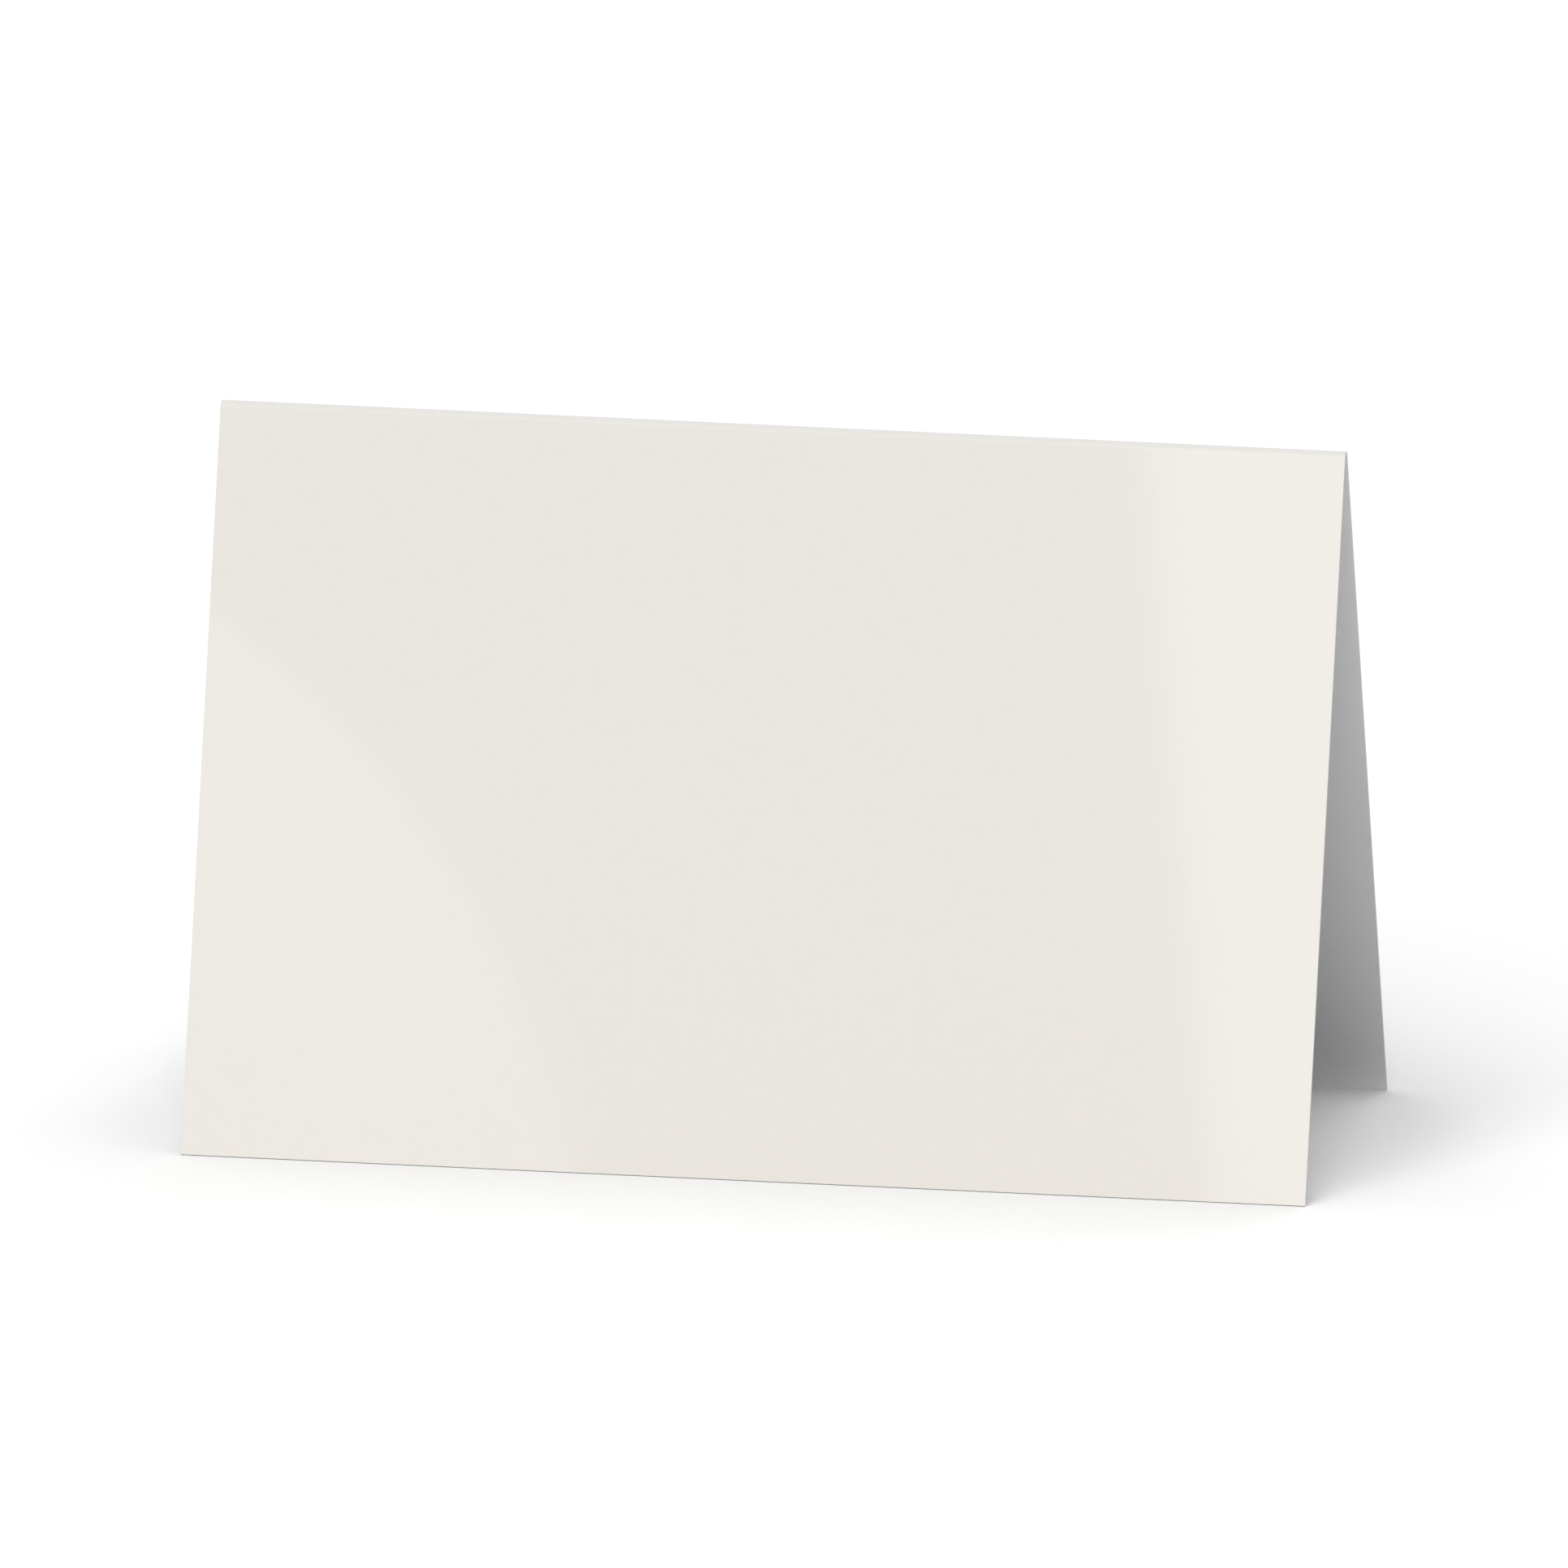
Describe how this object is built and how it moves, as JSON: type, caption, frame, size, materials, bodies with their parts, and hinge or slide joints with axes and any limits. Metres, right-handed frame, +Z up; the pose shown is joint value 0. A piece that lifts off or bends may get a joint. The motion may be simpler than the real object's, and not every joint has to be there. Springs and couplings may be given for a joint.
{
  "type": "greeting card",
  "caption": "Blank greeting card: one sheet of satin-coated card, scored and folded once along its top edge, standing open like a tent on its lower edges.",
  "frame": {"origin": "on the table, midway between the two feet and midway along the fold", "axes": "+X along the fold, -Y the way the front panel faces, +Z up"},
  "size_m": [0.1524, 0.062, 0.0961],
  "materials": {
    "card_board": "ivory satin coating outside, uncoated white board inside and at the cut edges"
  },
  "bodies": {
    "root": {"folded_card": "card_board"}
  },
  "joints": []
}
